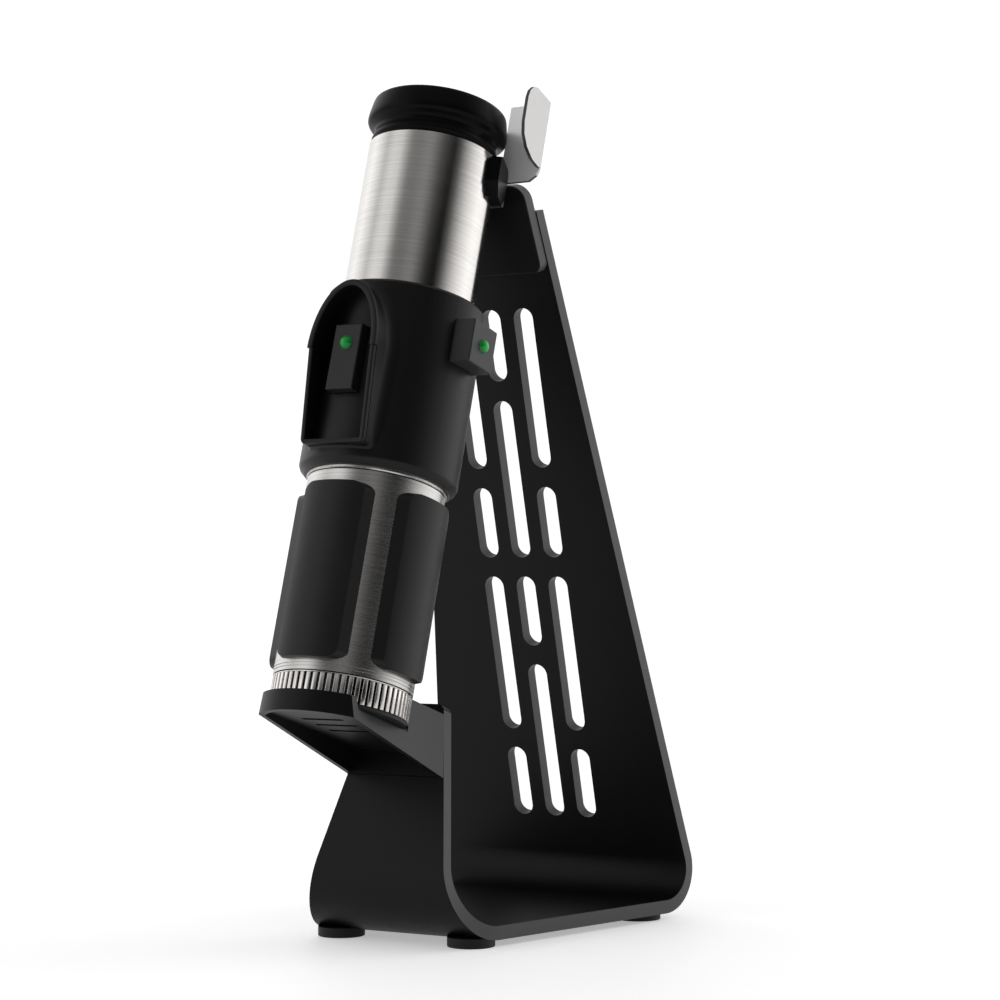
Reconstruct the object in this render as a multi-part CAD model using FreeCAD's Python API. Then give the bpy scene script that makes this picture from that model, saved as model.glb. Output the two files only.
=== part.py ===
import FreeCAD, Part
import math
import os

from FreeCAD import Placement, Rotation, Vector

# Electric wine opener leaning in its bent-plate stand. Millimetres, +Z up, front towards -Y.
# The origin is on the table, below the middle of the stand's outline.

# ---- driving dimensions: stand plate ----
PLATE = 5.3                # thickness of the bent plate
FOOT_H = 2.5               # rubber feet lift the plate this far
RISER_Y = -51.9            # outer face of the riser, produced down to the table
RISER_LEAN = 19.0          # degrees the riser leans back
RISER_TOP = 89.5           # height of the riser's top edge
RISER_HALF = 35.5          # riser half-width produced down to the table
RISER_TAPER = 0.218        # half-width lost per mm of height
BACK_RUN = 148.0           # riser face to back plate face, along the table
BACK_LEAN = 13.6           # degrees the back plate leans forward
BACK_HALF = 61.0           # back plate half-width produced down to the table
BACK_TAPER = 0.117         # half-width lost per mm of slope
BACK_LENGTH = 287.5        # slope length of the back plate
BACK_CORNER_R = 7.0
FRONT_BEND_R = 22.0        # outer radius of the front bend
REAR_BEND_R = 18.0         # outer radius of the rear bend
BASE_HALF = 33.9           # base half-width produced forward to the riser face
BASE_GRADE = 0.174         # half-width gained per mm of run
BEND_SECTIONS = 8

# ---- slots in the back plate ----
SLOT_W = 8.8
SLOT_PITCH = 15.1
SLOT_SHORT = 28.9
SLOT_LONG = 64.4
SLOT_GAP = 8.0
SLOT_START = 39.2

# ---- rest plate at the top ----
REST_T = 5.7
REST_BOTTOM = 264.0
REST_TOP = 298.8
REST_CORNER_R = 7.5

# ---- feet ----
FOOT_R = 9.0
FEET = {
    "foot_front_left": (-29.5, 28.0),
    "foot_front_right": (29.5, 28.0),
    "foot_rear_left": (-45.0, 127.0),
    "foot_rear_right": (45.0, 127.0),
}

# ---- opener: its own frame has z along its axis from the seat, front towards -y ----
TILT = 16.9                # degrees the opener leans back
AXIS_RUN = -41.9           # axis to riser face, along the table
SEAT_H = 90.6              # table to seat, measured along the axis
GRIP_R = 26.0
GRIP_WALL = 1.2
PAD_R = 28.7
PAD_HALF_ANGLE = 36.0       # where the pad meets the sleeve
PAD_FACE_ANGLE = 27.5       # edge of its outer face
PAD_CORNER_R = 3.5
PAD_BOTTOM = 15.6
PAD_TOP = 82.0
RING_R = 25.8
RING_BOTTOM = 1.2
RING_TOP = 11.2
RING_RIBS = 60
BAND_TOP = 90.3            # top of the grip's upper band
COLLAR_R = 30.0
COLLAR_WALL = 2.5
COLLAR_BOTTOM = 88.6
COLLAR_TOP = 160.1
TUBE_R = 25.0
TUBE_WALL = 0.8
TUBE_BOTTOM = 152.5
TUBE_TOP = 222.2
FLANGE_TOP = 240.8
MOUTH_R = 16.0             # bottle neck bore
STOP_Z = 213.0             # the bottle's lip stops here
CORK_R = 13.5              # bore that the cork is drawn into

# ---- gear train ----
MODULE = 0.6
SUN_TEETH = 12
PLANET_TEETH = 18
RING_TEETH = 48
GEAR_Z = 127.0
GEAR_FACE = 7.0
PLANETS = 3
CASE_R = 18.4              # gear case
CASE_SCREW_R = 16.7        # circle of the case screws

# ---- moving clearances ----
BUTTON_GAP = 0.25
SPIN_GAP = 0.06            # running clearance of the shafts

COS_T = math.cos(math.radians(TILT))
SIN_T = math.sin(math.radians(TILT))
LEAN_TAN = math.tan(math.radians(RISER_LEAN))
BACK_COS = math.cos(math.radians(BACK_LEAN))
BACK_SIN = math.sin(math.radians(BACK_LEAN))
X_AXIS = Vector(1, 0, 0)
Y_AXIS = Vector(0, 1, 0)
Z_AXIS = Vector(0, 0, 1)

OPENER = Placement(
    Vector(0, RISER_Y + AXIS_RUN + SEAT_H * SIN_T, SEAT_H * COS_T),
    Rotation(X_AXIS, -TILT),
)


# ---- helpers ----
def save(name, shape):
    """Write one node, with any placement already in the shape."""
    shape.exportStep("parts/" + name + ".step")


def save_opener(name, shape):
    """Write one node of the opener, moved from the opener's frame to the stand's."""
    moved = shape.copy()
    moved.Placement = OPENER.multiply(moved.Placement)
    save(name, moved)


def polygon(points):
    """Closed planar face through 3-D points."""
    loop = list(points) + [points[0]]
    return Part.Face(Part.makePolygon(loop))


def extrude_x(points_yz, half_width):
    """Prism of a side profile, centred on x = 0."""
    face = polygon([Vector(-half_width, y, z) for y, z in points_yz])
    return face.extrude(Vector(2 * half_width, 0, 0))


def revolve_profile(points_rz):
    """Solid of revolution about z from radius and height pairs."""
    face = polygon([Vector(r, 0, z) for r, z in points_rz])
    return face.revolve(Vector(0, 0, 0), Z_AXIS, 360)


def rod(radius, z0, z1, x=0.0, y=0.0):
    """Cylinder along z."""
    return Part.makeCylinder(radius, z1 - z0, Vector(x, y, z0), Z_AXIS)


def tube(outer, inner, z0, z1):
    """Round tube along z."""
    return rod(outer, z0, z1).cut(rod(inner, z0, z1))


def block(x0, x1, y0, y1, z0, z1):
    """Box between two corners."""
    return Part.makeBox(x1 - x0, y1 - y0, z1 - z0, Vector(x0, y0, z0))


def turned(shape, angle):
    """Copy of a shape turned about the opener's axis."""
    copy = shape.copy()
    copy.rotate(Vector(0, 0, 0), Z_AXIS, angle)
    return copy


def screw(head_r, head_h, shank_r, length, at, direction):
    """Pan-head screw: the shank runs along direction from the head's seat."""
    axis = Vector(*direction)
    axis.normalize()
    seat = Vector(*at)
    shank = Part.makeCylinder(shank_r, length, seat, axis)
    head = Part.makeCylinder(head_r, head_h, seat - axis * head_h, axis)
    socket = Part.makeCylinder(head_r * 0.45, head_h * 0.6, seat - axis * head_h, axis)
    return head.fuse(shank).cut(socket)


def fillet_edges(solid, radius, wanted):
    """Round the edges that the test picks; keep the sharp solid if the kernel can't."""
    edges = [edge for edge in solid.Edges if wanted(edge)]
    try:
        rounded = solid.makeFillet(radius, edges)
    except Part.OCCError:
        return solid
    return rounded if rounded.isValid() else solid


# ---- stand: bent plate ----
def back_point(slope, depth):
    """Side-view point on the back plate: slope up it, depth behind its front face."""
    y = RISER_Y + BACK_RUN - slope * BACK_SIN + depth * BACK_COS
    z = slope * BACK_COS + depth * BACK_SIN
    return y, z


def riser_point(height, depth):
    """Side-view point at a height on the riser's outer face, moved depth square to it."""
    lean = math.radians(RISER_LEAN)
    y = RISER_Y + height * LEAN_TAN + depth * math.cos(lean)
    return y, height - depth * math.sin(lean)


def bend_centre(corner, radius, turn, mirror):
    """Centre of a bend whose outer faces meet at corner."""
    run = radius * math.tan(math.radians(turn) / 2)
    return corner + mirror * run, FOOT_H + radius


def plate_section(outer, inner, half):
    """Rectangular section across the plate between two side-view points."""
    corners = [(-half, outer), (half, outer), (half, inner), (-half, inner)]
    loop = [Vector(x, y, z) for x, (y, z) in corners]
    return Part.makePolygon(loop + [loop[0]])


def ease(share, start, end, start_slope, end_slope, length):
    """Half-width part way round a bend, flowing into the straight edges at both ends."""
    t = share
    a = 2 * t ** 3 - 3 * t ** 2 + 1
    b = t ** 3 - 2 * t ** 2 + t
    c = 3 * t ** 2 - 2 * t ** 3
    d = t ** 3 - t ** 2
    return a * start + b * start_slope * length + c * end + d * end_slope * length


def bend_solid(centre, radius, angles, halves, slopes):
    """Curved part of the plate, square-edged all the way round."""
    arc = (radius - PLATE / 2) * math.radians(abs(angles[1] - angles[0]))
    sections = []
    for i in range(BEND_SECTIONS + 1):
        share = i / BEND_SECTIONS
        a = math.radians(angles[0] + (angles[1] - angles[0]) * share)
        outer = (centre[0] + radius * math.cos(a), centre[1] + radius * math.sin(a))
        thin = radius - PLATE
        inner = (centre[0] + thin * math.cos(a), centre[1] + thin * math.sin(a))
        half = ease(share, halves[0], halves[1], slopes[0], slopes[1], arc)
        sections.append(plate_section(outer, inner, half))
    return Part.makeLoft(sections, True, False)


def stand_plate():
    """The whole bent plate with tapering sides, rounded tops and slots."""
    lean = math.radians(RISER_LEAN)
    front_turn = 90 + RISER_LEAN
    rear_turn = 90 + BACK_LEAN
    front_c = bend_centre(riser_point(FOOT_H, 0)[0], FRONT_BEND_R, front_turn, 1)
    rear_slope = (FOOT_H - PLATE * BACK_SIN) / BACK_COS
    rear_c = bend_centre(back_point(rear_slope, PLATE)[0], REAR_BEND_R, rear_turn, -1)

    low_height = front_c[1] + FRONT_BEND_R * math.sin(lean)
    low_slope = (rear_c[1] + REAR_BEND_R * BACK_SIN - PLATE * BACK_SIN) / BACK_COS
    riser_half = RISER_HALF - RISER_TAPER * low_height
    back_half = BACK_HALF - BACK_TAPER * low_slope
    riser_grade = RISER_TAPER * math.cos(lean)
    base_front = BASE_HALF + BASE_GRADE * (front_c[0] - RISER_Y)
    base_rear = BASE_HALF + BASE_GRADE * (rear_c[0] - RISER_Y)

    front = bend_solid(front_c, FRONT_BEND_R, (-90 - front_turn, -90),
                       (riser_half, base_front), (riser_grade, BASE_GRADE))
    rear = bend_solid(rear_c, REAR_BEND_R, (-90, -90 + rear_turn),
                      (base_rear, back_half), (BASE_GRADE, -BACK_TAPER))
    riser = Part.makeLoft([
        plate_section(riser_point(RISER_TOP, 0), riser_point(RISER_TOP, PLATE),
                      RISER_HALF - RISER_TAPER * RISER_TOP),
        plate_section(riser_point(low_height, 0), riser_point(low_height, PLATE), riser_half),
    ], True, True)
    base = Part.makeLoft([
        plate_section((front_c[0], FOOT_H), (front_c[0], FOOT_H + PLATE), base_front),
        plate_section((rear_c[0], FOOT_H), (rear_c[0], FOOT_H + PLATE), base_rear),
    ], True, True)
    back = Part.makeLoft([
        plate_section(back_point(low_slope, PLATE), back_point(low_slope, 0), back_half),
        plate_section(back_point(BACK_LENGTH, PLATE), back_point(BACK_LENGTH, 0),
                      BACK_HALF - BACK_TAPER * BACK_LENGTH),
    ], True, True)
    plate = riser.fuse([front, base, rear, back])
    return plate.cut(round_back_top() + round_riser_top() + slots())


def frame_at(point, lean_back):
    """Placement whose x is the width, y the slope upwards, z the outward normal of a leaning face."""
    return Placement(Vector(0, point[0], point[1]), Rotation(X_AXIS, 90 + lean_back))


def corner_cutters(half, length, radius, place):
    """Two solids that round the top corners of a leaning plate."""
    result = []
    for side in (-1, 1):
        square = block(0, radius + 6, 0, radius + 6, -40, 40)
        square.translate(Vector(-radius, -radius, 0) if side > 0 else Vector(-6, -radius, 0))
        disc = Part.makeCylinder(radius, 80, Vector(-radius if side > 0 else radius, -radius, -40), Z_AXIS)
        square = square.cut(disc)
        square.translate(Vector(side * half, length, 0))
        square.Placement = place.multiply(square.Placement)
        result.append(square)
    return result


def round_back_top():
    """Rounded top corners of the back plate."""
    place = frame_at(back_point(0, 0), BACK_LEAN)
    half = BACK_HALF - BACK_TAPER * (BACK_LENGTH - BACK_CORNER_R)
    return corner_cutters(half, BACK_LENGTH, BACK_CORNER_R, place)


def round_riser_top():
    """Rounded top corners of the riser."""
    place = frame_at(riser_point(0, 0), -RISER_LEAN)
    radius = 4.0
    half = RISER_HALF - RISER_TAPER * (RISER_TOP - radius)
    return corner_cutters(half, RISER_TOP / math.cos(math.radians(RISER_LEAN)), radius, place)


def slots():
    """Pill-shaped slots: outer columns long over short, middle column short over long, twice."""
    place = frame_at(back_point(0, 0), BACK_LEAN)
    half = SLOT_W / 2
    result = []
    for column in (-1, 0, 1):
        lengths = (SLOT_LONG, SLOT_SHORT) if column == 0 else (SLOT_SHORT, SLOT_LONG)
        start = SLOT_START
        for length in lengths * 2:
            x = column * SLOT_PITCH
            pill = block(x - half, x + half, start + half, start + length - half, -20, 20)
            for end in (start + half, start + length - half):
                pill = pill.fuse(Part.makeCylinder(half, 40, Vector(x, end, -20), Z_AXIS))
            pill.Placement = place
            result.append(pill)
            start += length + SLOT_GAP
    return result


def rest_plate():
    """Rounded block at the top of the back plate that the opener's tube leans on."""
    low_half = BACK_HALF - BACK_TAPER * REST_BOTTOM - 0.4
    top_half = BACK_HALF - BACK_TAPER * REST_TOP - 0.4
    face = polygon([
        Vector(-low_half, REST_BOTTOM, 0), Vector(low_half, REST_BOTTOM, 0),
        Vector(top_half, REST_TOP, 0), Vector(-top_half, REST_TOP, 0),
    ])
    solid = face.extrude(Vector(0, 0, REST_T))
    solid = fillet_edges(solid, REST_CORNER_R, lambda e: is_upright(e) and e.BoundBox.YMin > REST_TOP - 1)
    solid = fillet_edges(solid, 3.5, lambda e: is_upright(e) and e.BoundBox.YMax < REST_BOTTOM + 1)
    solid = fillet_edges(solid, 0.7, lambda e: e.BoundBox.ZMin > REST_T - 0.01)
    for x in (-12, 12):
        solid = solid.cut(rod(1.25, -1, 4.0, x, REST_BOTTOM + 12))
    solid.Placement = frame_at(back_point(0, 0), BACK_LEAN)
    return solid


def is_upright(edge):
    """True for a straight edge along z."""
    box = edge.BoundBox
    return box.XLength < 0.01 and box.YLength < 0.01 and box.ZLength > 0.5


def rest_screws():
    """Two screws from behind the back plate into the rest block."""
    screws = []
    for x in (-12, 12):
        one = screw(2.6, 1.6, 1.25, PLATE + 3.6, (x, REST_BOTTOM + 12, -PLATE), (0, 0, 1))
        one.Placement = frame_at(back_point(0, 0), BACK_LEAN)
        screws.append(one)
    return screws


# ---- stand: cradle ----
WALL = 2.4                 # cradle wall
LIP_TOP = 3.5              # front lip above the seat
LIP_BOTTOM = -4.4
REAR_TOP = 12.2            # side walls behind the opener
POCKET_R = RING_R + 0.4
LIP_R = 28.6
LINER_T = 0.8
CRADLE_HALF = 34.9         # half-width = this - CRADLE_Y * y - CRADLE_Z * z, y from the riser face
CRADLE_Y = 0.073
CRADLE_Z = 0.185
CRADLE_FOOT_Z = 62.5       # where the walls' lower edges meet the riser
SCREW_Z = (68.0, 80.0)
SCREW_BITE = 1.9           # how far the screws go into the cradle


def opener_to_side(front, z):
    """Side-view point of a place in the opener's frame."""
    y = RISER_Y + AXIS_RUN + (SEAT_H + z) * SIN_T - front * COS_T
    return y, (SEAT_H + z) * COS_T + front * SIN_T


def taper_block(inset):
    """Tapering block between the cradle's two side faces."""
    y0, y1, z0, z1 = RISER_Y - 60, RISER_Y + 45, 50.0, 115.0

    def half(y, z):
        return CRADLE_HALF - CRADLE_Y * (y - RISER_Y) - CRADLE_Z * z - inset

    corners = [(y0, z0), (y1, z0), (y1, z1), (y0, z1)]
    right = [Vector(half(y, z), y, z) for y, z in corners]
    left = [Vector(-half(y, z), y, z) for y, z in corners]
    faces = [polygon(right), polygon(left)]
    for i in range(4):
        j = (i + 1) % 4
        faces.append(polygon([right[i], right[j], left[j], left[i]]))
    return Part.makeSolid(Part.makeShell(faces))


def riser_half_space(depth):
    """Everything behind the riser's outer face, moved forward by depth."""
    y, z = riser_point(0, -depth)
    return extrude_x([
        (y - 20 * LEAN_TAN, z - 20), (y + 140 * LEAN_TAN, z + 140),
        (y + 200, z + 140), (y + 200, z - 20),
    ], 60)


def opener_solid(shape):
    """Shape moved from the opener's frame to the stand's."""
    moved = shape.copy()
    moved.Placement = OPENER.multiply(moved.Placement)
    return moved


def cradle():
    """Cup that holds the opener's lower end: curved lip, two side walls, shelf and back wall."""
    lower = opener_to_side(20.0, LIP_BOTTOM)
    foot = riser_point(CRADLE_FOOT_Z, 0)
    head = (riser_point(95, 0)[0], 95)
    outline = extrude_x([
        opener_to_side(34.0, LIP_BOTTOM), lower, foot, head,
        opener_to_side(-40.0, REAR_TOP + 8), opener_to_side(34.0, REAR_TOP + 8),
    ], 40)
    body = outline.common(taper_block(0))
    body = body.cut(riser_half_space(0))
    # trim above the lip in front and above the walls behind
    front_trim = opener_solid(block(-50, 50, -60, 0, LIP_TOP, 60))
    rear_trim = opener_solid(block(-50, 50, -0.1, 90, REAR_TOP, 60))
    body = body.cut([front_trim, rear_trim])
    # round the front about the opener's axis
    keep = opener_solid(rod(LIP_R, -30, 40).fuse(block(-50, 50, 0, 90, -40, 40)))
    body = body.common(keep)
    # pocket for the opener, open through both side walls
    pocket = opener_solid(rod(POCKET_R, -LINER_T, 60))
    # open space between the side walls behind the opener
    inner = taper_block(WALL).cut(riser_half_space(WALL))
    behind = inner.common(opener_solid(block(-50, 50, 0, 90, -LINER_T, 60)))
    # hollow below the shelf
    under = inner.common(opener_solid(rod(LIP_R - WALL, -60, -3.2).fuse(block(-50, 50, 0, 90, -60, -3.2))))
    body = body.cut([pocket, behind, under])
    drains = [opener_solid(block(-9, 9, y - 1.2, y + 1.2, -10, 5)) for y in (-9, 0, 9)]
    holes = [rear_hole(1.6, x, z) for x in (-9, 9) for z in SCREW_Z]
    return body.cut(drains + holes)


def rear_hole(radius, x, z, ahead=SCREW_BITE):
    """Hole square to the riser at a height on it, starting ahead of its outer face."""
    y, height = riser_point(z, 0)
    normal = Vector(0, math.cos(math.radians(RISER_LEAN)), -math.sin(math.radians(RISER_LEAN)))
    return Part.makeCylinder(radius, 24, Vector(x, y, height) - normal * ahead, normal)


def cradle_screws():
    """Four screws from behind the riser into the cradle's back wall."""
    lean = math.radians(RISER_LEAN)
    screws = []
    for x in (-9, 9):
        for z in SCREW_Z:
            y, height = riser_point(z, 0)
            back = Vector(x, y + PLATE * math.cos(lean), height - PLATE * math.sin(lean))
            direction = (0, -math.cos(lean), math.sin(lean))
            screws.append(screw(3.0, 1.8, 1.6, PLATE + SCREW_BITE, back, direction))
    return screws


def cradle_liner():
    """Soft pad on the shelf under the opener."""
    disc = opener_solid(rod(POCKET_R - 0.2, -LINER_T, -0.1))
    liner = disc.common(taper_block(0.15))
    drains = [opener_solid(block(-9, 9, y - 1.2, y + 1.2, -10, 5)) for y in (-9, 0, 9)]
    return liner.cut(drains)


# ---- opener: mouth and barrel ----
def mouth_flange():
    """Black end flange with a rounded rim, an undercut neck and the bottle bore."""
    outer = revolve_profile([
        (0, 214.5), (TUBE_R - TUBE_WALL, 214.5), (TUBE_R - TUBE_WALL, TUBE_TOP),
        (23.7, TUBE_TOP), (23.7, 223.6),
        (24.6, 224.4), (24.1, 226.0), (23.5, 228.0), (23.9, 229.8), (25.9, 230.6),
        (26.8, 231.3), (27.15, 232.6), (27.0, 234.5), (26.1, 239.6), (25.5, 240.5),
        (24.6, FLANGE_TOP), (0, FLANGE_TOP),
    ])
    bore = rod(MOUTH_R, 200, FLANGE_TOP)
    lead_in = Part.makeCone(MOUTH_R, MOUTH_R + 1.4, 1.4, Vector(0, 0, FLANGE_TOP - 1.4), Z_AXIS)
    return outer.cut([bore, lead_in])


def clip_mount():
    """Black block on the barrel's right side that carries the steel clip."""
    face = polygon([
        Vector(-MOUNT_HALF, -60, 211.6), Vector(-MOUNT_HALF, -60, 220.4), Vector(-5.8, -60, 222.0),
        Vector(7.4, -60, 222.0), Vector(9.4, -60, 220.0), Vector(9.4, -60, 211.0),
        Vector(5.4, -60, MOUNT_LOW), Vector(-3.4, -60, MOUNT_LOW),
    ])
    bar = face.extrude(Vector(0, 60, 0))
    bar = bar.common(block(-20, 20, -MOUNT_FLAT, 0, 190, 230))
    bar = turned(bar, MOUNT_ANGLE)
    ear = block(TAB_IN, TAB_OUT, 10, CLIP_FRONT, TAB_LOW, 217.5)
    return bar.fuse(ear).cut([rod(TUBE_R, 190, 230)] + clip_screws()).removeSplitter()


MOUNT_HALF = 7.4           # forward half-width of the block
MOUNT_LOW = 206.4
MOUNT_FLAT = 28.6          # its outer face to the opener's axis
MOUNT_ANGLE = 112.0        # from the front towards the right
CLIP_FRONT = 20.6          # front face of the clip's side leaf
CLIP_BACK = 22.0
CLIP_X = 36.0              # outer face of the clip's tongue
CLIP_T = 1.4
CLIP_SCREW_Z = (211.2, 215.8)
CLIP_SCREW_X = 18.0
TAB_IN = 14.9              # the clip's fixing tab, behind the block
TAB_OUT = 21.0
TAB_LOW = 208.6


def hook_clip():
    """Bent steel clip: a leaf beside the flange, folded forward into a free tongue."""
    leaf = polygon([
        Vector(18.3, CLIP_FRONT, 221.0), Vector(18.3, CLIP_FRONT, 250.4), Vector(CLIP_X, CLIP_FRONT, 250.9),
        Vector(CLIP_X, CLIP_FRONT, 223.6), Vector(34.6, CLIP_FRONT, 220.6), Vector(31.6, CLIP_FRONT, 218.4),
        Vector(TAB_OUT, CLIP_FRONT, 218.2), Vector(TAB_OUT, CLIP_FRONT, TAB_LOW),
        Vector(TAB_IN, CLIP_FRONT, TAB_LOW), Vector(TAB_IN, CLIP_FRONT, 219.2),
    ]).extrude(Vector(0, CLIP_T, 0))
    tongue = polygon([
        Vector(CLIP_X, CLIP_BACK, 223.6), Vector(CLIP_X, CLIP_BACK, 251.0), Vector(CLIP_X, 10.6, 252.6),
        Vector(CLIP_X, 8.0, 251.8), Vector(CLIP_X, 5.9, 249.4), Vector(CLIP_X, 5.2, 246.4),
        Vector(CLIP_X, 5.2, 236.4), Vector(CLIP_X, 6.4, 231.6), Vector(CLIP_X, 9.6, 227.4),
        Vector(CLIP_X, 14.4, 224.4), Vector(CLIP_X, 19.0, 223.4),
    ]).extrude(Vector(-CLIP_T, 0, 0))
    clip = leaf.fuse(tongue).removeSplitter()
    clip = fillet_edges(clip, 1.2, is_clip_fold)
    return clip.cut([hole_y(1.2, CLIP_SCREW_X, z) for z in CLIP_SCREW_Z])


def is_clip_fold(edge):
    """True for the outer edge of the fold between the clip's leaf and its tongue."""
    box = edge.BoundBox
    outer = abs(box.XMax - CLIP_X) < 0.01 and abs(box.YMin - CLIP_BACK) < 0.01
    return outer and box.XLength < 0.01 and box.ZLength > 15


def hole_y(radius, x, z):
    """Hole along y in the opener's frame."""
    return Part.makeCylinder(radius, 20, Vector(x, 12, z), Y_AXIS)


def clip_screws():
    """Two small screws through the clip's tab into the block."""
    return [screw(1.9, 1.2, 1.2, 3.2, (CLIP_SCREW_X, CLIP_BACK, z), (0, -1, 0)) for z in CLIP_SCREW_Z]


# ---- opener: collar, hood and buttons ----
HOOD_FRONT = 37.2          # hood rim to the opener's axis
HOOD_LOW_FRONT = 32.4      # rim at the hood's lower end
HOOD_BOTTOM = 94.6
HOOD_SHOULDER = 130.7      # the rim starts to slope back below here
HOOD_TOP = 156.6
HOOD_HALF_LOW = 14.2
HOOD_HALF = 14.9
HOOD_WALL = 1.9
HOOD_CORNER_R = 2.0
HOOD_LIP = 0.7             # the arch's lip stands out this far
HOOD_LIP_DEPTH = 2.6
FRONT_BUTTON = (6.0, 115.0, 140.4, 34.1)     # half-width, bottom, top, face
SIDE_BUTTON = (8.0, 134.0, 150.7, 37.4)
LENS_R = 2.5


def hood_face(inset):
    """Arched outline of the hood on the plane y = 0."""
    low = Vector(HOOD_HALF_LOW - inset, 0, HOOD_BOTTOM + inset)
    high = Vector(HOOD_HALF - inset, 0, HOOD_SHOULDER)
    centre = Vector(0, 0, HOOD_SHOULDER)
    rise = HOOD_TOP - HOOD_SHOULDER - inset
    ellipse = Part.Ellipse(Vector(0, 0, HOOD_TOP - inset), high, centre)
    arch = ellipse.toShape()
    half_plane = block(-30, 30, -1, 1, HOOD_SHOULDER, HOOD_SHOULDER + rise + 5)
    dome = Part.Face(Part.Wire([arch])).common(half_plane)
    skirt = polygon([
        Vector(-low.x, 0, low.z), Vector(low.x, 0, low.z),
        Vector(high.x, 0, high.z), Vector(-high.x, 0, high.z),
    ])
    return dome, skirt


def hood_prism(inset, depth):
    """Hood outline pushed forward."""
    dome, skirt = hood_face(inset)
    solid = dome.extrude(Vector(0, -depth, 0)).fuse(skirt.extrude(Vector(0, -depth, 0)))
    return solid.removeSplitter()


def button_hood():
    """Arched shroud round the front button, standing on the collar."""
    shell = hood_prism(0, HOOD_FRONT)
    shell = fillet_edges(shell, HOOD_CORNER_R, is_hood_corner)
    shell = shell.cut(hood_prism(HOOD_WALL, HOOD_FRONT + 5))
    lip = hood_prism(-HOOD_LIP, HOOD_FRONT).cut(hood_prism(HOOD_WALL, HOOD_FRONT + 5))
    lip = lip.common(block(-30, 30, -HOOD_FRONT, -HOOD_FRONT + HOOD_LIP_DEPTH, HOOD_SHOULDER, HOOD_TOP + 5))
    shell = shell.fuse(lip)
    slope = Part.Face(Part.makePolygon([
        Vector(-30, -HOOD_FRONT + 0.6, HOOD_SHOULDER), Vector(-30, -HOOD_LOW_FRONT, HOOD_BOTTOM - 1),
        Vector(-30, -60, HOOD_BOTTOM - 1), Vector(-30, -60, HOOD_SHOULDER),
        Vector(-30, -HOOD_FRONT + 0.6, HOOD_SHOULDER),
    ])).extrude(Vector(60, 0, 0))
    shell = shell.cut([slope, rod(COLLAR_R, 80, 170)])
    return shell.removeSplitter()


def is_hood_corner(edge):
    """True for the hood's two lower corners."""
    box = edge.BoundBox
    return box.YLength > 20 and box.ZMax < HOOD_BOTTOM + 1 and box.XLength < 0.01


def collar_housing():
    """Black collar round the motor and gears, with windows for both buttons."""
    inner = COLLAR_R - COLLAR_WALL
    outer = revolve_profile([
        (26.4, COLLAR_BOTTOM), (27.6, COLLAR_BOTTOM), (29.4, COLLAR_BOTTOM + 1.6),
        (COLLAR_R, COLLAR_BOTTOM + 3.0), (COLLAR_R, COLLAR_TOP - 1.0), (COLLAR_R - 0.8, COLLAR_TOP),
        (TUBE_R, COLLAR_TOP), (TUBE_R, TUBE_BOTTOM), (inner, TUBE_BOTTOM), (inner, COLLAR_BOTTOM + 5),
        (GRIP_R - GRIP_WALL, COLLAR_BOTTOM + 5), (GRIP_R - GRIP_WALL, BAND_TOP), (26.4, BAND_TOP),
    ])
    half, low, high, face = FRONT_BUTTON
    gap = BUTTON_GAP
    front = block(-half - gap, half + gap, -40, -20, low - gap, high + gap)
    half, low, high, face = SIDE_BUTTON
    side = block(20, 40, -half - gap, half + gap, low - gap, high + gap)
    return outer.cut([front, side])


def button(spec):
    """Slab button facing the front, with a retaining flange inside the collar."""
    half, low, high, face = spec
    slab = block(-half, half, -face, -24.6, low, high)
    slab = fillet_edges(slab, 0.6, lambda e: e.BoundBox.YMax < -face + 0.01)
    flange = block(-half - 0.9, half + 0.9, -25.6, -24.6, low - 0.9, high + 0.9)
    return slab.fuse(flange)


def lens(spec, z):
    """Domed light lens set in a button's face."""
    half, low, high, face = spec
    dome = Part.makeSphere(LENS_R * 1.15, Vector(0, -face + 0.9, z))
    dome = dome.common(block(-5, 5, -face - 5, -face + 0.6, z - 5, z + 5))
    stem = Part.makeCylinder(LENS_R, 1.2, Vector(0, -face + 0.2, z), Y_AXIS)
    return dome.fuse(stem).removeSplitter()


FRONT_LENS_Z = 133.1
SIDE_LENS_Z = 142.4


def lens_pocket(spec, z):
    """Seat for a lens in its button."""
    return Part.makeCylinder(LENS_R, 2.0, Vector(0, -spec[3] - 0.6, z), Y_AXIS)


def switch(z):
    """Tactile switch behind a button, facing the front."""
    body = block(-3, 3, -22.9, -21.0, z - 3, z + 3)
    return body.fuse(Part.makeCylinder(1.6, 0.35, Vector(0, -23.25, z), Y_AXIS))


# ---- opener: grip ----
def grip_sleeve():
    """Steel sleeve of the grip with turned grooves at both ends."""
    sleeve = tube(GRIP_R, GRIP_R - GRIP_WALL, RING_TOP + 0.2, 87.0)
    grooves = [tube(GRIP_R + 1, GRIP_R - 0.35, z, z + 0.45) for z in (12.4, 13.6)]
    return sleeve.cut(grooves)


def upper_band():
    """Narrow steel band between the grip and the collar."""
    return revolve_profile([
        (24.8, 87.4), (GRIP_R + 0.1, 87.4), (GRIP_R + 0.5, 87.8), (GRIP_R + 0.5, 88.5),
        (26.4, 88.6), (26.4, BAND_TOP), (24.8, BAND_TOP),
    ])


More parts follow.
